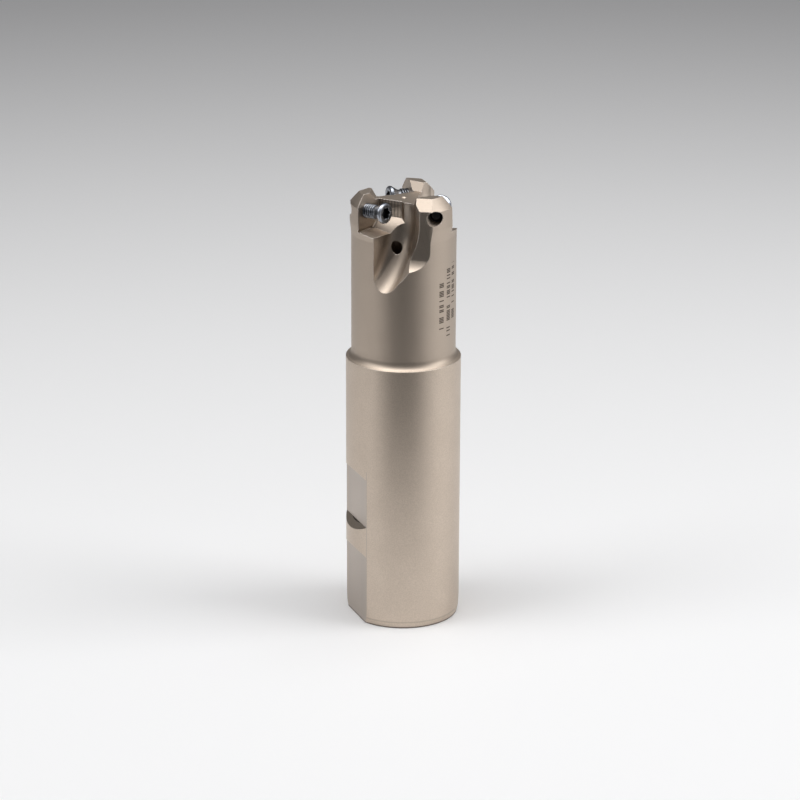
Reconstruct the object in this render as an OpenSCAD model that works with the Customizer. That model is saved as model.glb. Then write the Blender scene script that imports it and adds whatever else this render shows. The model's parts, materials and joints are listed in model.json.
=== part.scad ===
// Indexable face mill for three round inserts: a one-piece cutter on a side-lock shank,
// with one clamp screw in each insert seat. The axis is Z, the shank end stands on Z = 0
// and the cutting end points up. The shank flats face -X.

/* [Shank] */
// Diameter of the shank
shank_d = 32; // [26:0.5:40]
// Length of the shank, from its end to the shoulder
shank_len = 76; // [62:0.5:92]
// Width of the chamfer at the shank end
end_chamfer = 0.55; // [0.2:0.05:0.8]
// Height of the chamfer at the shank end
end_chamfer_h = 1.8; // [1:0.1:3]

/* [Clamping flats] */
// Depth of both flats below the shank surface
flat_depth = 2; // [1:0.1:2.6]
// Height of the upper flat's centre above the shank end
flat_centre = 36; // [33:0.5:44]
// Length of the upper flat
flat_len = 14; // [10:0.5:17]
// Length of the lower flat, from the shank end
end_flat_len = 20; // [14:0.5:22]
// Slope of the flats' end walls
flat_wall_angle = 45; // [30:1:60]

/* [Neck and head] */
// Diameter of the neck
neck_d = 29; // [24:0.5:31]
// Length of neck and head, from the shoulder to the tips of the inserts
neck_len = 48.7; // [40:0.5:59]
// Radius of the fillet between shank and neck
shoulder_fillet = 2.6; // [1.8:0.1:3.2]
// How far the head lies inside the cutting circle
head_inset = 1.15; // [0.8:0.05:1.6]
// Length of the head band, from the tips of the inserts down
head_len = 9.7; // [8.5:0.1:12]
// Length of the taper from the neck to the head band
head_taper = 3.4; // [1:0.1:4.1]
// How far the tooth tops lie below the tips of the inserts
crown_inset = 1.3; // [0.8:0.1:2]
// Height of the bevel around the tooth tops
bevel_h = 3.2; // [2:0.1:4]
// Width of the bevel around the tooth tops
bevel_w = 2.45; // [1.5:0.05:3]
// Radius in which that bevel is crowned
bevel_crown = 40; // [30:1:60]
// How far the web lies below the tooth tops
web_drop = 2.3; // [1.5:0.1:3]
// Depth of the centre mark in the web
centre_mark = 0.8; // [0.3:0.1:1.5]

/* [Insert seats] */
// Diameter of the cutting circle
cutting_d = 32; // [27:0.5:38.5]
// Angle of the first tooth around the axis
first_tooth = 209.3; // [180:0.1:240]
// Diameter of a round insert
insert_d = 12; // [10:0.1:14.4]
// Thickness of a round insert
insert_t = 4.76; // [4:0.02:5.72]
// Clearance angle of the insert's flank
insert_relief = 11; // [7:1:15]
// How far the seats lean towards the cutting end
seat_lean = 3; // [0:0.5:5]
// How far the block under the insert stands out from the seat
block_depth = 5.86; // [5:0.02:7]
// Radius of the relief grooves between seat and walls
groove_r = 0.45; // [0.2:0.05:0.7]

/* [Flutes] */
// Radius of the round channel
channel_r = 4.15; // [3.5:0.05:5]
// Distance of the channel floor from the axis
channel_core = 3.6; // [3:0.1:4.5]
// Radius in which the channel floor runs out
channel_sweep = 29.4; // [24:0.1:35.5]
// Distance of that run-out's centre below the tips of the inserts
channel_drop = 4.7; // [3:0.1:5.7]
// Direction of the open side of the flute, against the tooth
side_angle = 70; // [60:1:78]
// Distance of the open side's wall from the axis
side_core = 2.65; // [2.3:0.05:3.2]
// Radius in which the open side runs out
side_sweep = 23.4; // [19.5:0.1:28]
// Distance of that run-out's centre below the tips of the inserts
side_drop = 8.4; // [7:0.1:10]
// Thickness of a tooth, from the seat to its back
tooth_t = 6.54; // [5.5:0.02:7.8]
// Radius at the foot of a tooth's back
back_r = 6.5; // [5:0.1:7.8]
// Distance of that radius's centre below the tips of the inserts
back_len = 15.5; // [12:0.1:18]
// Height of the sloping top of a tooth's back
back_bevel_h = 3; // [2:0.1:4]
// Width of the sloping top of a tooth's back
back_bevel_w = 2.7; // [2:0.1:3.5]
// Distance of a crown's inner face from the axis, at the web
crown_core = 7.6; // [6.5:0.1:9]
// Slope of a crown's inner face
crown_slope = 31; // [15:1:45]
// Direction of a crown's inner face, against the tooth
crown_angle = 56.6; // [45:0.1:65]

/* [Clamp screws] */
// Thread diameter of the clamp screws
thread_d = 4; // [3.4:0.1:4.8]
// Radial clearance of the screw in its hole
thread_gap = 0.05; // [0.02:0.01:0.1]
// Thread pitch
pitch = 0.7; // [0.5:0.05:0.8]
// Whole length of a screw
screw_len = 10; // [8.5:0.1:12]
// Diameter of the screw head
screw_head_d = 5.7; // [5:0.1:6.8]
// Height of the straight rim of the head
rim_h = 0.9; // [0.6:0.05:1.2]
// Height of the cone under the head
cone_h = 1.7; // [1.2:0.1:2.2]
// Diameter of the plain neck under the head
screw_neck_d = 3.5; // [3:0.1:3.9]
// Length of the plain neck under the head
screw_neck_len = 0.8; // [0.4:0.1:1.2]
// Height of a fully tightened screw above its seat
seated_h = 4.2; // [3.6:0.05:4.7]
// Turns that the three screws are backed out
turns_out = [3.5, 4, 2]; // [0:0.5:4]
// Width across the points of the six-lobe recess
recess_d = 3.35; // [2.8:0.05:3.6]
// Depth of the six-lobe recess
recess_depth = 1.6; // [1:0.1:2]

/* [Coolant] */
// Diameter of the central coolant bore
coolant_d = 8; // [5:0.1:10]
// Diameter of the holes that lead into the flutes
jet_d = 3; // [2:0.1:3.6]
// Slope of those holes against the axis
jet_slope = 35; // [28:1:42]
// Direction of those holes, against the tooth
jet_angle = 24; // [20:1:29]
// Distance from the axis to where those holes open
jet_out = 7.2; // [6.5:0.1:8.6]
// Distance from the tips of the inserts to where those holes open
jet_drop = 15.8; // [13:0.1:17]
// Slope of the central bore's drilled end
bore_tip = 31; // [25:1:45]

/* [Hidden] */
$fn = 96;
eps = 0.01;
reach = 60;
teeth = 3;
blank_start = 43.2; // where the turned faces begin and end, away from the flats
shank_r = shank_d / 2;
neck_r = neck_d / 2;
head_r = cutting_d / 2 - head_inset;
tool_len = shank_len + neck_len;
crown_z = tool_len - crown_inset;
web_z = crown_z - web_drop;
bevel_z = crown_z - bevel_h;
head_z = tool_len - head_len;
seat_z = tool_len - insert_d / 2;
seat_r = (cutting_d - insert_d) / 2;
wall_gap = insert_d / 2 - insert_t * tan(insert_relief);
block_y = block_depth - insert_t;
channel_y = block_y + channel_r;
bore_z = tool_len - jet_drop - jet_out / tan(jet_slope);
back_y = -insert_t - tooth_t;

// Carries its children to tooth k: X points outwards, Y the way the seat faces, Z up
module at_tooth(k) {
    rotate([0, 0, first_tooth + (k - 1) * 360 / teeth]) children();
}

// Carries its children from the tooth to its seat: Z stands on the seat, Y points to the shank
module in_seat() {
    translate([seat_r, -insert_t, seat_z])
        rotate([seat_lean - 90, 0, 0]) children();
}

// Turned blank: shank, shoulder, neck, head band and a slightly crowned top bevel
module blank() {
    fillet_x = neck_r + shoulder_fillet - shank_r;
    fillet_h = sqrt(pow(shoulder_fillet, 2) - pow(fillet_x, 2));
    bevel_angle = atan(bevel_h / bevel_w);
    bevel_in = sqrt(pow(bevel_crown, 2) - (pow(bevel_h, 2) + pow(bevel_w, 2)) / 4);
    rotate([0, 0, blank_start]) rotate_extrude() {
        polygon([
            [0, 0],
            [shank_r - end_chamfer, 0],
            [shank_r - end_chamfer / 4, end_chamfer_h],
            [shank_r, end_chamfer_h * 2.6],
            [shank_r, shank_len],
            [neck_r, shank_len],
            [neck_r, head_z - head_taper],
            [head_r, head_z],
            [head_r, bevel_z],
            [0, bevel_z]
        ]);
        intersection() {
            translate([0, bevel_z - eps]) square([head_r, bevel_h + eps]);
            translate([head_r - bevel_w / 2, crown_z - bevel_h / 2])
                rotate(90 - bevel_angle) translate([-bevel_in, 0]) circle(bevel_crown);
        }
        difference() {
            translate([neck_r - eps, shank_len - eps])
                square([shank_r - neck_r + eps, fillet_h + eps]);
            translate([neck_r + shoulder_fillet, shank_len + fillet_h])
                circle(shoulder_fillet);
        }
    }
}

// One flat of the side-lock shank between two heights, with sloping end walls
module shank_flat(low, high, low_wall) {
    slope = reach / 6 / tan(flat_wall_angle);
    level = -shank_r + flat_depth;
    outer = level - reach / 6;
    rotate([90, 0, 0]) linear_extrude(reach, center = true) polygon([
        [level, low],
        [level, high],
        [outer, high + slope],
        [outer, low_wall ? low - slope : low]
    ]);
}

// Space above the web, between the crowns of the teeth
module web_cut() {
    difference() {
        translate([0, 0, web_z]) cylinder(h = reach, r = reach);
        for (k = [1 : teeth]) at_tooth(k) rotate([0, 0, -crown_angle])
            translate([crown_core, -reach / 2, web_z])
                rotate([0, crown_slope, 0])
                    translate([0, 0, -reach / 2]) cube([reach, reach, reach * 2]);
    }
}

// Half space inside one leaning wall of the insert seat
module seat_wall(turn) {
    rotate([0, 0, turn]) translate([-wall_gap, -reach / 2, 0])
        rotate([0, -insert_relief, 0])
            translate([0, 0, -reach / 2]) cube([reach, reach, reach]);
}

// Half space on the open side of the flute
module open_side() {
    rotate([0, 0, side_angle - 90])
        translate([side_core, -reach / 2, 0]) cube([reach, reach, tool_len + reach]);
}

// Insert seat with its three supporting walls, the relief grooves and the tapped hole
module seat_cut() {
    groove_len = 2 * wall_gap * tan(22.5);
    intersection() {
        open_side();
        in_seat() intersection() {
            seat_wall(0);
            seat_wall(-45);
            seat_wall(-90);
            translate([-reach / 2, -reach / 2, 0]) cube([reach, reach, channel_y + insert_t]);
        }
    }
    in_seat() {
        for (turn = [0, -45]) rotate([0, 0, turn]) translate([-wall_gap, 0, 0])
            rotate([90, 0, 0]) cylinder(h = groove_len, r = groove_r, center = true);
        translate([-groove_len / 2, wall_gap, 0])
            rotate([0, 90, 0]) cylinder(h = reach / 3, r = groove_r);
        cylinder(h = reach / 2, r = thread_d / 2 + thread_gap, center = true);
    }
}

// Space of a round-rimmed disc that has run straight up
module disc_run(sweep, rim_r) {
    ring = sweep - rim_r;
    rotate([90, 0, 0]) {
        cylinder(h = 2 * rim_r, r = ring, center = true);
        rotate_extrude() translate([ring, 0]) circle(rim_r);
    }
    translate([-ring, 0, 0]) cylinder(h = sweep, r = rim_r);
    translate([-ring, -rim_r, 0]) cube([2 * ring, 2 * rim_r, sweep]);
}

// Round-bottomed channel beside the web, running out at its lower end
module channel_cut() {
    translate([channel_core + channel_sweep, channel_y, tool_len - channel_drop])
        disc_run(channel_sweep, channel_r);
}

// Open side of the flute, running out in the same way
module side_cut() {
    intersection() {
        rotate([0, 0, side_angle - 90]) translate([side_core, 0, tool_len - side_drop]) {
            translate([side_sweep, 0, 0])
                rotate([90, 0, 0]) cylinder(h = reach, r = side_sweep, center = true);
            translate([0, -reach / 2, 0]) cube([reach, reach, reach]);
        }
        translate([-reach / 2, channel_y, 0]) cube([reach, reach, tool_len + reach]);
    }
}

// Back of a tooth: flat, with a round foot and a sloping top
module back_cut() {
    foot_z = tool_len - back_len;
    top_z = crown_z - back_bevel_h;
    rise = back_bevel_h * reach / 2 / back_bevel_w;
    translate([channel_core / 2, 0, 0])
        rotate([90, 0, 90]) linear_extrude(reach) {
            translate([back_y - back_r, foot_z]) circle(back_r);
            polygon([
                [back_y, foot_z],
                [back_y, top_z],
                [back_y + reach / 2, top_z + rise],
                [back_y - reach / 2, top_z + rise],
                [back_y - reach / 2, foot_z]
            ]);
        }
}

// Coolant hole from the central bore to the floor of the flute
module jet_cut() {
    rotate([0, 0, jet_angle]) translate([0, 0, bore_z])
        rotate([0, jet_slope, 0]) cylinder(h = jet_out / sin(jet_slope) + jet_d, d = jet_d);
}

// Central coolant bore with a drilled end
module coolant_cut() {
    translate([0, 0, -eps]) cylinder(h = bore_z + eps, d = coolant_d);
    translate([0, 0, bore_z - eps])
        cylinder(h = coolant_d / 2 * tan(bore_tip), d1 = coolant_d, d2 = 0);
}

module cutter_body() {
    color([0.66, 0.62, 0.56]) difference() {
        blank();
        shank_flat(flat_centre - flat_len / 2, flat_centre + flat_len / 2, true);
        shank_flat(-eps, end_flat_len, false);
        web_cut();
        coolant_cut();
        for (k = [1 : teeth]) at_tooth(k) {
            seat_cut();
            channel_cut();
            side_cut();
            back_cut();
            jet_cut();
        }
        translate([0, 0, web_z - centre_mark])
            cylinder(h = centre_mark + eps, r1 = 0, r2 = centre_mark);
    }
}

// Six-lobe recess, drawn flat
module six_lobe() {
    lobe_r = recess_d * 0.11;
    difference() {
        union() {
            circle(recess_d * 0.4);
            for (i = [0 : 5]) rotate(i * 60)
                translate([recess_d / 2 - lobe_r, 0]) circle(lobe_r);
        }
        for (i = [0 : 5]) rotate(i * 60 + 30)
            translate([recess_d * 0.52, 0]) circle(recess_d * 0.16);
    }
}

// Clamp screw with its head's top at Z = 0
module screw_shape() {
    head_r = screw_head_d / 2;
    edge = rim_h * 0.4;
    neck_z = -rim_h - cone_h;
    thread_z = neck_z - screw_neck_len;
    difference() {
        rotate_extrude() polygon([
            [0, 0],
            [head_r - edge, 0],
            [head_r, -edge],
            [head_r, -rim_h],
            [screw_neck_d / 2, neck_z],
            [screw_neck_d / 2, thread_z],
            [thread_d / 2, thread_z - pitch / 2],
            [thread_d / 2, -screw_len + pitch],
            [thread_d / 2 - pitch, -screw_len],
            [0, -screw_len]
        ]);
        translate([0, 0, -recess_depth]) linear_extrude(recess_depth + eps) six_lobe();
    }
}

module insert_screw(k) {
    color([0.60, 0.62, 0.66]) at_tooth(k) in_seat()
        translate([0, 0, seated_h + turns_out[k - 1] * pitch]) screw_shape();
}

module insert_screw_1() insert_screw(1);
module insert_screw_2() insert_screw(2);
module insert_screw_3() insert_screw(3);

cutter_body();
insert_screw_1();
insert_screw_2();
insert_screw_3();
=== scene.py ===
import json
import math

import bmesh
import bpy
from mathutils import Matrix, Vector


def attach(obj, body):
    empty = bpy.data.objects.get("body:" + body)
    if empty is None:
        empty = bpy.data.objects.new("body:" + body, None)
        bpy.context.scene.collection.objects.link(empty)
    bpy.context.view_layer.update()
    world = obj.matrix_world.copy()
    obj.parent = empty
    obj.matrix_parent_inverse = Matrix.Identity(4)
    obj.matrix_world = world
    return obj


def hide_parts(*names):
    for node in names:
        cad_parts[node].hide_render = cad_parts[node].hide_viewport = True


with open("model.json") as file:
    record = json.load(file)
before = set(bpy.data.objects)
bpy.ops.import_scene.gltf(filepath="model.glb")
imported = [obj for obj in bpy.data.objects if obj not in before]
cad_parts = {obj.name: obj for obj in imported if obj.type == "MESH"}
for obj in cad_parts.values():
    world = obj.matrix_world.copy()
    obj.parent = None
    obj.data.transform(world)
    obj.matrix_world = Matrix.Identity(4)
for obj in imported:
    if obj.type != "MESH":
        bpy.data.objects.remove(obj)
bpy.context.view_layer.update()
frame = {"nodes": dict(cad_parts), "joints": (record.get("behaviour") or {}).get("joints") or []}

scene = bpy.context.scene
mm = 0.001

# Where the finishes change on the cutter, in millimetres and degrees
cutter = {
    "shankRadius": 16.0, "shankTop": 76.0,
    "flatLevel": -14.0, "flatTop": 45.5,
    "neckRadius": 14.5, "headStart": 95.0,
    "chamferTop": 1.8, "firstTooth": 209.3, "toothStep": 120.0,
    "seatRadius": 10.0, "seatHeight": 118.7, "seatDepth": -4.76, "seatLean": 3.0,
    "webHeight": 121.1, "holeRadius": 2.05, "threadPitch": 0.7,
    "channelCentre": (33.0, 120.0),
}


class Wire:  # a socket that can be added, multiplied and so on
    def __init__(self, shader, socket):
        self.shader = shader
        self.socket = socket

    def maths(self, operation, *values):
        inputs = dict(enumerate(values))
        return self.shader.node("ShaderNodeMath", {"operation": operation}, inputs)

    def __add__(self, other):
        return self.maths("ADD", self, other)

    def __radd__(self, other):
        return self.maths("ADD", other, self)

    def __sub__(self, other):
        return self.maths("SUBTRACT", self, other)

    def __rsub__(self, other):
        return self.maths("SUBTRACT", other, self)

    def __mul__(self, other):
        return self.maths("MULTIPLY", self, other)

    def __rmul__(self, other):
        return self.maths("MULTIPLY", other, self)

    def __truediv__(self, other):
        return self.maths("DIVIDE", self, other)

    def __gt__(self, other):
        return self.maths("GREATER_THAN", self, other)

    def __lt__(self, other):
        return self.maths("LESS_THAN", self, other)

    def __abs__(self):
        return self.maths("ABSOLUTE", self)

    def __mod__(self, other):
        return self.maths("FLOORED_MODULO", self, other)

    def floor(self):
        return self.maths("FLOOR", self)

    def most(self, other):
        return self.maths("MAXIMUM", self, other)

    def rise(self, low, high):  # 0 below low, 1 above high, smooth between
        inputs = {"Value": self, "From Min": low, "From Max": high}
        return self.shader.node("ShaderNodeMapRange", {"interpolation_type": "SMOOTHSTEP"}, inputs)

    def near(self, middle, width, soft):  # 1 within width of middle, 0 beyond it
        return 1 - abs(self - middle).rise(width, width + soft)


class Shader:  # one material and the nodes that make it
    def __init__(self, name):
        self.material = bpy.data.materials.new(name)
        self.material.use_nodes = True
        self.nodes = self.material.node_tree.nodes
        self.links = self.material.node_tree.links
        self.surface = self.nodes["Principled BSDF"]

    def feed(self, socket, value):
        if isinstance(value, Wire):
            self.links.new(value.socket, socket)
        elif hasattr(socket.default_value, "__len__") and len(socket.default_value) == 4:
            socket.default_value = (*value[:3], 1)
        else:
            socket.default_value = value

    def node(self, kind, settings=None, inputs=None, output=0):
        node = self.nodes.new(kind)
        for name, value in (settings or {}).items():
            setattr(node, name, value)
        for name, value in (inputs or {}).items():
            self.feed(node.inputs[name], value)
        return Wire(self, node.outputs[output])

    def mix(self, factor, first, second):  # colours
        node = self.nodes.new("ShaderNodeMix")
        node.data_type = "RGBA"
        self.feed(node.inputs[0], factor)
        self.feed(node.inputs[6], first)
        self.feed(node.inputs[7], second)
        return Wire(self, node.outputs[2])

    def place(self):  # the point on the piece, in metres
        return self.node("ShaderNodeTexCoord", output="Object")

    def parts(self, vector):
        node = self.nodes.new("ShaderNodeSeparateXYZ")
        self.links.new(vector.socket, node.inputs[0])
        return [Wire(self, socket) for socket in node.outputs]

    def join(self, x, y, z):
        return self.node("ShaderNodeCombineXYZ", inputs={0: x, 1: y, 2: z})

    def noise(self, vector, scale, detail=2.0, rough=0.5):
        inputs = {"Vector": vector, "Scale": scale, "Detail": detail, "Roughness": rough}
        return self.node("ShaderNodeTexNoise", inputs=inputs)

    def edges(self, width, low, high):  # 1 on the edges of the piece
        rounded = self.node("ShaderNodeBevel", {"samples": 6}, {"Radius": width})
        plain = self.node("ShaderNodeNewGeometry", output="Normal")
        inputs = {0: rounded, 1: plain}
        alike = self.node("ShaderNodeVectorMath", {"operation": "DOT_PRODUCT"}, inputs, "Value")
        return (1 - alike).rise(low, high), rounded

    def bump(self, height, strength, distance, normal=None):
        inputs = {"Height": height, "Strength": strength, "Distance": distance}
        if normal:
            inputs["Normal"] = normal
        return self.node("ShaderNodeBump", inputs=inputs)

    def finish(self, varying, fixed):
        for name, value in {**fixed, **varying}.items():
            self.feed(self.surface.inputs[name], value)
        return self.material


nickel = {
    "plate": (0.650, 0.553, 0.462), "shade": (0.500, 0.420, 0.345), "edge": (0.90, 0.85, 0.80),
    "milled": (0.580, 0.496, 0.418), "blastedAndShade": (0.490, 0.414, 0.345), "ground": (0.460, 0.408, 0.365),
    "stripeAndShade": (0.300, 0.255, 0.215), "mark": (0.085, 0.066, 0.055),
    "blastGrain": 3400.0, "satinGrain": 3200.0, "edgeWidth": 0.00022,
    "neckRough": 0.47, "shankRough": 0.40, "flatRough": 0.36, "milledRough": 0.33,
    "topRough": 1.35, "bevelRough": 0.50, "shoulderRough": 0.50,
    "stripePitch": 0.95,
}

# Where each finish and each band of painted shade lies, as (middle, half width, soft edge) or as a
# height, in millimetres
zones = {
    "shoulderTop": 2.9, "shoulder": (1.6, 1.7, 0.3), "webBand": 0.9, "footFrom": 0.1, "footTo": 0.55,
    "ring": (0.14, 0.16), "wallOut": (4.6, 1.0, 0.25), "wallFacing": (-1.0, 3.6, 0.4),
    "wallDrop": 3.4, "wallHalf": 3.3,
}

# Plain code strokes where the real tool carries lettering: angle, upper and lower end of each column
code = {
    "columns": ((-66.0, 99.8, 86.5), (-54.0, 103.5, 84.0), (-43.5, 104.5, 88.5)),
    "pitch": 0.44, "reach": 0.85, "fill": 0.55,
}


def nickelSteel():
    s = Shader("satinNickel")
    place = s.place()
    x, y, z = [part * 1000 for part in s.parts(place)]
    radius = (x * x + y * y).maths("SQRT", x * x + y * y)
    angle = x.maths("ARCTAN2", y, x) * (180 / math.pi)

    # tooth frame: outwards and along the seat's facing, the same for all three teeth
    step = cutter["toothStep"]
    folded = ((angle - cutter["firstTooth"] + step / 2) % step - step / 2) * (math.pi / 180)
    outward = radius * folded.maths("COSINE", folded)
    facing = radius * folded.maths("SINE", folded)

    full = (radius - cutter["shankRadius"]).rise(-0.9, -0.6)
    shank = (z < cutter["shankTop"] + zones["shoulderTop"]) * full
    flat = x.near(cutter["flatLevel"], 0.03, 0.05) * (z < cutter["flatTop"])
    neck = radius.rise(cutter["neckRadius"] - 0.16, cutter["neckRadius"] - 0.05)
    top = (z > cutter["webHeight"] - zones["webBand"]) * 1.0
    turned = neck.most((z < cutter["headStart"]) * 1.0)
    milled = 1 - turned
    facet = s.parts(s.node("ShaderNodeNewGeometry", output="Normal"))[2]
    upright = facet.near(0.0, 0.25, 0.2)
    bevel = milled * facet.near(0.7, 0.3, 0.05)
    middle, half, soft = zones["shoulder"]
    shoulder = z.near(cutter["shankTop"] + middle, half, soft)
    footShadow = 1 - z.rise(zones["footFrom"], zones["footTo"])
    ring = z.near(cutter["chamferTop"], *zones["ring"]) * (1 - flat)

    grain = s.noise(place, nickel["blastGrain"], 3.0, 0.65)
    fine = s.noise(place, nickel["satinGrain"], 2.0, 0.6)
    cloud = s.noise(place, 160.0, 3.0, 0.55)
    highlightBreakup = s.noise(place, 900.0, 4.0, 0.6)
    ringed = s.noise(s.join(angle * 0.004, z * 9.0, 0.0), 1.0, 2.0, 0.7)

    # marks of the cutters that milled the flutes run along the sweep, those on the walls stand up
    centreX, centreZ = cutter["channelCentre"]
    sweep = (z - centreZ).maths("ARCTAN2", z - centreZ, centreX - outward)
    reach = outward.maths("SQRT", (z - centreZ) * (z - centreZ)
                          + (outward - centreX) * (outward - centreX))
    streak = s.noise(s.join(facing * 5.0, sweep * 3.0, reach * 5.0), 1.0, 3.0, 0.6)
    wallHigh = z.near(cutter["webHeight"] - zones["wallDrop"], zones["wallHalf"], 0.1)
    wall = outward.near(*zones["wallOut"]) * facing.near(*zones["wallFacing"]) * wallHigh * upright
    wave = (facing + streak * 0.5) * (2 * math.pi / nickel["stripePitch"])
    stripes = wave.maths("SINE", wave).rise(-0.2, 0.9) * wall

    # thread inside the three tapped holes
    lean = math.radians(cutter["seatLean"])
    aside = outward - cutter["seatRadius"]
    high = z - cutter["seatHeight"]
    inward = facing - cutter["seatDepth"]
    along = inward * math.cos(lean) + high * math.sin(lean)
    across = high * math.cos(lean) - inward * math.sin(lean)
    fromAxis = across.maths("SQRT", aside * aside + across * across)
    bored = fromAxis.near(cutter["holeRadius"], 0.02, 0.03) * (along < -0.02)
    turn = aside.maths("ARCTAN2", across, aside) / (2 * math.pi)
    ramp = (along / cutter["threadPitch"] + turn) % 1.0
    thread = abs(ramp - 0.5) * 2.0

    # strokes of the plain code, some of them left out
    strokes = None
    for middle, upper, lower in code["columns"]:
        across = (angle - middle) * (math.pi / 180) * cutter["neckRadius"]
        line = (z - lower) / code["pitch"]
        cell = s.join(line.floor(), middle, 0.5)
        chance = s.node("ShaderNodeTexWhiteNoise", {"noise_dimensions": "3D"}, {"Vector": cell})
        shape = across.near(0.0, code["reach"], 0.05) * abs(line % 1.0 - 0.5).near(0.0, 0.3, 0.1)
        column = shape * (z > lower) * (z < upper) * (chance < code["fill"])
        strokes = column if strokes is None else strokes.most(column)
    mark = strokes * radius.near(cutter["neckRadius"], 0.05, 0.05)

    # The edges of the cutter get a painted highlight in their colour, patchy along their length
    edge, rounded = s.edges(nickel["edgeWidth"], 0.015, 0.14)
    edge = edge * (0.55 + 0.45 * highlightBreakup.rise(0.35, 0.6)) * (1 - bored)

    plate = s.mix(cloud.rise(0.3, 0.7) * 0.14, nickel["plate"], nickel["shade"])
    colour = s.mix(milled, plate, nickel["milled"])
    colour = s.mix(neck * (1 - shank) * 0.8, colour, nickel["blastedAndShade"])
    colour = s.mix(flat * 0.9, colour, nickel["ground"])
    # painted shade: bevel facets that face up at about 45 degrees are painted darker to dim their
    # highlight
    colour = s.mix(bevel * 0.45, colour, nickel["blastedAndShade"])
    colour = s.mix(fine.rise(0.35, 0.65) * (0.28 + 0.20 * shank), colour, nickel["shade"])
    lines = (stripes * 0.75).most(streak.rise(0.5, 0.75) * milled * 0.22)
    colour = s.mix(lines, colour, nickel["stripeAndShade"])
    # painted shade in the thread grooves of the tapped holes
    colour = s.mix(bored * (1 - thread) * 0.6, colour, nickel["stripeAndShade"])
    # painted highlight along the edges of the cutter
    colour = s.mix(edge * 0.95, colour, nickel["edge"])
    # painted contact shadow: thin dark band along the very bottom, in the dark of the code strokes
    colour = s.mix(footShadow * 0.85, colour, nickel["mark"])
    # painted shade: thin dark line where the base chamfer begins
    colour = s.mix(ring * 0.35, colour, nickel["stripeAndShade"])
    colour = s.mix(mark * 0.9, colour, nickel["mark"])

    rough = nickel["neckRough"] * neck * (1 - shank) + nickel["shankRough"] * shank
    rough = rough + nickel["milledRough"] * milled * (1 - top)
    rough = rough + nickel["milledRough"] * nickel["topRough"] * milled * top
    rough = rough * (1 - flat) + nickel["flatRough"] * flat
    rough = rough * (1 - bevel) + nickel["bevelRough"] * bevel
    rough = rough * (1 - shoulder) + nickel["shoulderRough"] * shoulder
    rough = rough + (cloud - 0.5) * 0.03 + (grain - 0.5) * 0.16 + ringed * shank * 0.04
    rough = rough + edge * 0.03 + mark * 0.3 + stripes * 0.1

    height = grain * (0.40 * neck * (1 - shank) + 0.45 * shank + 0.12 * flat + 0.14 * milled)
    height = height + ringed * shank * 0.10 + streak * milled * 0.22 + stripes * 0.5 - mark * 0.8
    normal = s.bump(height, 0.5, 0.00003, rounded)
    normal = s.bump(thread * bored, 1.0, 0.00035, normal)

    varying = {"Base Color": colour, "Roughness": rough, "Normal": normal}
    return s.finish(varying, {"Metallic": 1.0, "IOR": 2.0})


steel = {
    "bright": (0.46, 0.48, 0.52), "dull": (0.26, 0.28, 0.32), "edge": (0.86, 0.88, 0.92),
    "oil": (0.22, 0.20, 0.17), "hollowShade": (0.045, 0.046, 0.05), "rough": 0.30, "edgeWidth": 0.00009,
}


def screwSteel():
    s = Shader("brightScrewSteel")
    place = s.place()
    grain = s.noise(place, 9000.0, 3.0, 0.6)
    patch = s.noise(place, 700.0, 3.0, 0.6)
    edge, rounded = s.edges(steel["edgeWidth"], 0.03, 0.3)
    colour = s.mix(patch.rise(0.35, 0.68), steel["bright"], steel["dull"])
    colour = s.mix(grain.rise(0.55, 0.8) * 0.4, colour, steel["oil"])
    # painted highlight along the edges of the screw
    colour = s.mix(edge * 0.6, colour, steel["edge"])
    hollowShade = s.node("ShaderNodeAttribute", {"attribute_name": "hollowShade"}, output="Fac")
    # painted shade in the thread roots, the recess and the tip of the screw
    colour = s.mix(hollowShade.rise(0.1, 0.8) * 0.92, colour, steel["hollowShade"])
    rough = hollowShade * 0.15 + steel["rough"] + (patch - 0.5) * 0.2 + (grain - 0.5) * 0.1
    normal = s.bump(grain * 0.4 + patch * 0.3, 0.4, 0.00002, rounded)
    varying = {"Base Color": colour, "Roughness": rough, "Normal": normal}
    return s.finish(varying, {"Metallic": 1.0, "IOR": 2.2})


nickelFinish = nickelSteel()
screwFinish = screwSteel()
body = frame["nodes"]["cutter_body"]
for slot in body.material_slots:
    slot.material = nickelFinish
print("finishes made")


clampScrew = {
    "headRadius": 2.85, "topChamfer": 0.42, "rim": 0.9, "cone": 1.7,
    "neckRadius": 1.72, "neckLength": 0.8, "length": 10.0,
    "crest": 1.985, "root": 1.48, "pitch": 0.7, "tipChamfer": 0.7,
    "recess": 1.675, "recessDepth": 1.6, "lobeDip": 0.33, "around": 96, "perTurn": 40,
}


def ringOn(shape, edges, radius, height, lobes=0.0):
    grown = bmesh.ops.extrude_edge_only(shape, edges=edges)["geom"]
    points = [item for item in grown if isinstance(item, bmesh.types.BMVert)]
    setRing(points, radius, height, lobes)
    return [item for item in grown if isinstance(item, bmesh.types.BMEdge)]


def setRing(points, radius, height, lobes):
    for point in points:
        turn = math.atan2(point.co.y, point.co.x)
        wave = (1 + math.cos(6 * turn)) / 2
        reach = radius - lobes * (1 - wave ** 0.8)
        point.co = Vector((math.cos(turn) * reach, math.sin(turn) * reach, height))


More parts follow.
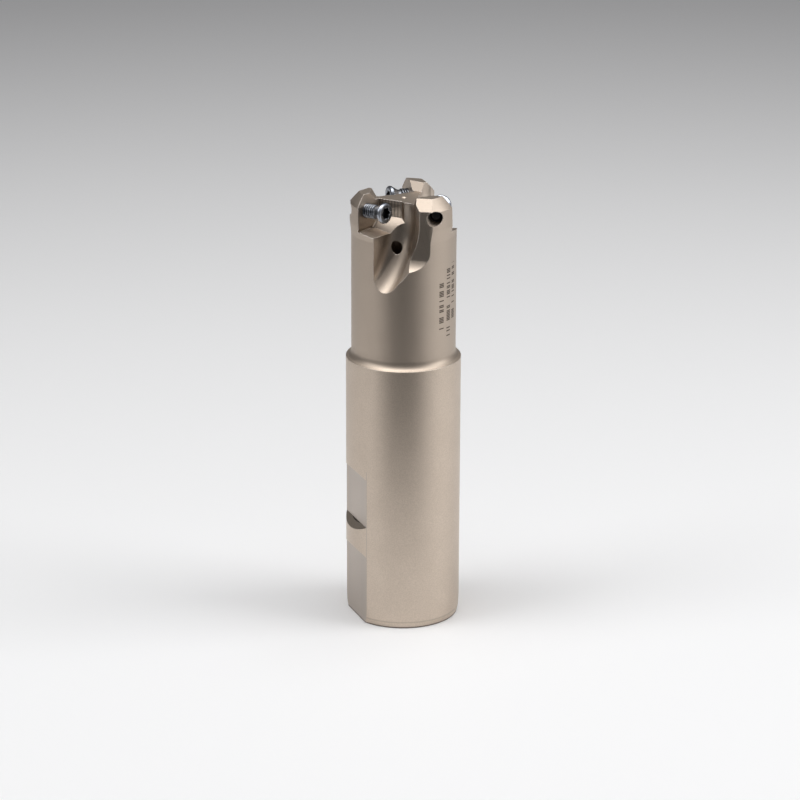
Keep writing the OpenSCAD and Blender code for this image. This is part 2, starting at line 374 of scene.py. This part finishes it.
def threadRidge(sizes):  # one ridge swept up the shaft, sinking into it at both ends
    lowest = -sizes["length"] + sizes["tipChamfer"]
    highest = -sizes["rim"] - sizes["cone"] - sizes["neckLength"] - 0.1
    turns = (highest - lowest) / sizes["pitch"]
    half = sizes["pitch"] * 0.44
    shape = bmesh.new()
    outline = [(sizes["root"] - 0.03, -half), (sizes["crest"], -0.05), (sizes["crest"], 0.05),
               (sizes["root"] - 0.03, half)]
    points = [shape.verts.new((reach, 0, lowest + rise)) for reach, rise in outline]
    face = shape.faces.new(points)
    steps = round(turns * sizes["perTurn"])
    rise = (0, 0, (highest - lowest) / steps)
    bmesh.ops.spin(shape, geom=[face, *face.edges, *face.verts], cent=(0, 0, 0), axis=(0, 0, 1),
                   dvec=rise, angle=turns * 2 * math.pi, steps=steps, use_duplicate=False)
    for point in shape.verts:  # ends fade out over half a turn
        reach = Vector(point.co.xy).length
        fade = min(1, (point.co.z - lowest + half) / 0.35, (highest - point.co.z + half) / 0.35)
        top = sizes["root"] - 0.03 + (reach - sizes["root"] + 0.03) * max(fade, 0.05)
        point.co.xy *= top / reach
    bmesh.ops.recalc_face_normals(shape, faces=shape.faces)
    mesh = bpy.data.meshes.new("ridge")
    shape.to_mesh(mesh)
    shape.free()
    return mesh


def screwMesh(sizes):
    shape = bmesh.new()
    bmesh.ops.create_circle(shape, cap_ends=False, radius=sizes["headRadius"], segments=sizes["around"])
    rim = list(shape.edges)
    setRing(list(shape.verts), sizes["headRadius"], -sizes["topChamfer"] * 0.9, 0)
    # upwards: chamfer, top, and the recess with its six lobes
    chamfer = sizes["topChamfer"]
    edges = ringOn(shape, rim, sizes["headRadius"] - chamfer * 0.35, -chamfer * 0.3)
    edges = ringOn(shape, edges, sizes["headRadius"] - sizes["topChamfer"], -0.01)
    edges = ringOn(shape, edges, sizes["recess"] + 0.14, 0.0)
    edges = ringOn(shape, edges, sizes["recess"] + 0.06, -0.03, sizes["lobeDip"])
    edges = ringOn(shape, edges, sizes["recess"], -0.12, sizes["lobeDip"])
    edges = ringOn(shape, edges, sizes["recess"] - 0.02, -sizes["recessDepth"], sizes["lobeDip"])
    edges = ringOn(shape, edges, 0.9, -sizes["recessDepth"] - 0.05)
    edges = ringOn(shape, edges, 0.3, -sizes["recessDepth"] - 0.35)
    bmesh.ops.contextual_create(shape, geom=edges)
    # downwards: rim, cone, neck and the core of the thread
    under = -sizes["rim"]
    neck = under - sizes["cone"]
    start = neck - sizes["neckLength"]
    edges = ringOn(shape, rim, sizes["headRadius"], under + 0.08)
    edges = ringOn(shape, edges, sizes["headRadius"] - 0.07, under)
    edges = ringOn(shape, edges, sizes["neckRadius"] + 0.12, neck + 0.12)
    edges = ringOn(shape, edges, sizes["neckRadius"], neck - 0.08)
    edges = ringOn(shape, edges, sizes["neckRadius"], start)
    edges = ringOn(shape, edges, sizes["root"], start - 0.12)
    edges = ringOn(shape, edges, sizes["root"], -sizes["length"] + 0.45)
    edges = ringOn(shape, edges, sizes["root"] - 0.35, -sizes["length"])
    bmesh.ops.contextual_create(shape, geom=edges)
    bmesh.ops.recalc_face_normals(shape, faces=shape.faces)
    ridge = threadRidge(sizes)
    shape.from_mesh(ridge)
    bpy.data.meshes.remove(ridge)
    depth = shape.verts.layers.float.new("hollowShade")  # where painted shade goes: how deep in the thread or the recess, and the tip
    for point in shape.verts:
        reach = Vector(point.co.xy).length
        sunk = (sizes["crest"] - reach) / (sizes["crest"] - sizes["root"])
        threaded = point.co.z < start and point.co.z > -sizes["length"] + 0.3
        recessed = -0.1 > point.co.z > under * 4 and reach < sizes["recess"] + 0.01
        tip = point.co.z < -sizes["length"] + 0.05
        point[depth] = min(1, max(0, sunk)) if threaded else float(recessed or tip)
    bmesh.ops.scale(shape, vec=(mm, mm, mm), verts=shape.verts)
    mesh = bpy.data.meshes.new("clampScrew")
    shape.to_mesh(mesh)
    shape.free()
    return mesh


def screwPlace(node, axis):  # the CAD screw's own top and centre line
    axis = Vector(axis).normalized()
    out = axis.cross(Vector((0, 0, 1))).normalized()
    side = axis.cross(out)
    points = [vertex.co for vertex in frame["nodes"][node].data.vertices]
    top = max(point.dot(axis) for point in points)
    centre = axis * top
    for way in (out, side):
        reach = [point.dot(way) for point in points]
        centre += way * (max(reach) + min(reach)) / 2
    turn = Matrix((out, side, axis)).transposed().to_4x4()
    return Matrix.Translation(centre) @ turn


for joint in frame["joints"]:
    number = joint["child"][-1]
    node = "insert_screw_" + number
    piece = bpy.data.objects.new("clampScrew" + number, screwMesh(clampScrew))
    scene.collection.objects.link(piece)
    piece.data.transform(screwPlace(node, joint["axis"]))
    piece.data.materials.append(screwFinish)
    piece.data.shade_smooth()
    piece.data.set_sharp_from_angle(angle=math.radians(32))
    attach(piece, joint["child"])
    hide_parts(node)
print("clamp screws made")


studio = {
    "floorNear": (0.90, 0.90, 0.905), "floorFar": (0.66, 0.655, 0.665), "nearAt": 0.25, "farAt": 1.60,
    "floorSize": 6.0, "room": (0.80, 0.80, 0.82), "roomPower": 0.10,
    "lights": {
        "left": {"around": -72, "above": 52, "away": 0.80, "size": (0.36, 0.70), "power": 2.5},
        "right": {"around": 84, "above": 34, "away": 0.80, "size": (0.42, 0.75), "power": 3.2},
        "top": {"around": 20, "above": 86, "away": 0.95, "size": (0.80, 0.70), "power": 6.0},
    },
    "card": {"from": 0.13, "to": 0.90, "width": 0.34, "spread": 0.62, "lift": 0.002},
}

view = {
    "around": -21.7, "above": 19.04, "roll": 0.198, "away": 0.89498,
    "aimAside": -0.000915, "aimHigh": 0.062556, "lens": 144.174, "sensor": 36, "near": 0.05, "far": 50,
}


def makeFloor():
    shape = bmesh.new()
    bmesh.ops.create_circle(shape, cap_ends=True, radius=studio["floorSize"], segments=64)
    mesh = bpy.data.meshes.new("floor")
    shape.to_mesh(mesh)
    shape.free()
    floor = bpy.data.objects.new("floor", mesh)
    scene.collection.objects.link(floor)
    s = Shader("paleSheet")
    place = s.place()
    x, y, z = s.parts(place)
    # painted pool of light: the floor is painted lighter near the cutter and darker farther out
    away = x.maths("SQRT", x * x + y * y).rise(studio["nearAt"], studio["farAt"])
    tone = s.noise(place, 3.0, 2.0, 0.5)
    colour = s.mix(away, studio["floorNear"], studio["floorFar"])
    fibre = s.noise(place, 900.0, 2.0, 0.6)
    rough = 0.55 + tone * 0.1
    mesh.materials.append(s.finish({"Base Color": colour, "Roughness": rough,
                                    "Normal": s.bump(fibre, 0.1, 0.00005)}, {}))


def onDome(around, above, away):
    turn = math.radians(view["around"] + around)
    tilt = math.radians(above)
    flat = math.cos(tilt)
    return Vector((math.sin(turn) * flat, -math.cos(turn) * flat, math.sin(tilt))) * away


def makeCard():  # black card before the object, seen only in its reflections
    card = studio["card"]
    shape = bmesh.new()
    corners = [(-card["width"] / 2, -card["from"]), (card["width"] / 2, -card["from"]),
               (card["spread"] / 2, -card["to"]), (-card["spread"] / 2, -card["to"])]
    shape.faces.new([shape.verts.new((x, y, card["lift"])) for x, y in corners])
    turn = Matrix.Rotation(math.radians(view["around"]), 4, "Z")
    bmesh.ops.transform(shape, matrix=turn, verts=shape.verts)
    mesh = bpy.data.meshes.new("blackCard")
    shape.to_mesh(mesh)
    shape.free()
    piece = bpy.data.objects.new("blackCard", mesh)
    scene.collection.objects.link(piece)
    s = Shader("blackCard")
    mesh.materials.append(s.finish({}, {"Base Color": (0.02, 0.02, 0.02), "Roughness": 1.0}))
    piece.visible_camera = False
    piece.visible_diffuse = False
    piece.visible_shadow = False


def makeLights():
    middle = Vector((0, 0, 0.06))
    for name, light in studio["lights"].items():
        lamp = bpy.data.lights.new(name, "AREA")
        lamp.shape = "RECTANGLE"
        lamp.size, lamp.size_y = light["size"]
        lamp.energy = light["power"]
        holder = bpy.data.objects.new(name, lamp)
        holder.location = middle + onDome(light["around"], light["above"], light["away"])
        holder.rotation_euler = (middle - holder.location).to_track_quat("-Z", "Y").to_euler()
        scene.collection.objects.link(holder)
    world = bpy.data.worlds.new("room")
    world.use_nodes = True
    glow = world.node_tree.nodes["Background"]
    glow.inputs["Color"].default_value = (*studio["room"], 1)
    glow.inputs["Strength"].default_value = studio["roomPower"]
    scene.world = world


def makeCamera():
    camera = bpy.data.objects.new("camera", bpy.data.cameras.new("camera"))
    camera.data.lens = view["lens"]
    camera.data.sensor_width = view["sensor"]
    camera.data.clip_start = view["near"]
    camera.data.clip_end = view["far"]
    turn = math.radians(view["around"])
    aim = Vector((math.cos(turn), math.sin(turn), 0)) * view["aimAside"] + Vector((0, 0, view["aimHigh"]))
    back = onDome(0, view["above"], 1)
    face = back.to_track_quat("Z", "Y").to_matrix().to_4x4()
    roll = Matrix.Rotation(math.radians(view["roll"]), 4, "Z")
    camera.matrix_world = Matrix.Translation(aim + back * view["away"]) @ face @ roll
    scene.collection.objects.link(camera)
    scene.camera = camera


makeFloor()
makeCard()
makeLights()
makeCamera()
scene.view_settings.view_transform = "Standard"
print("studio made")
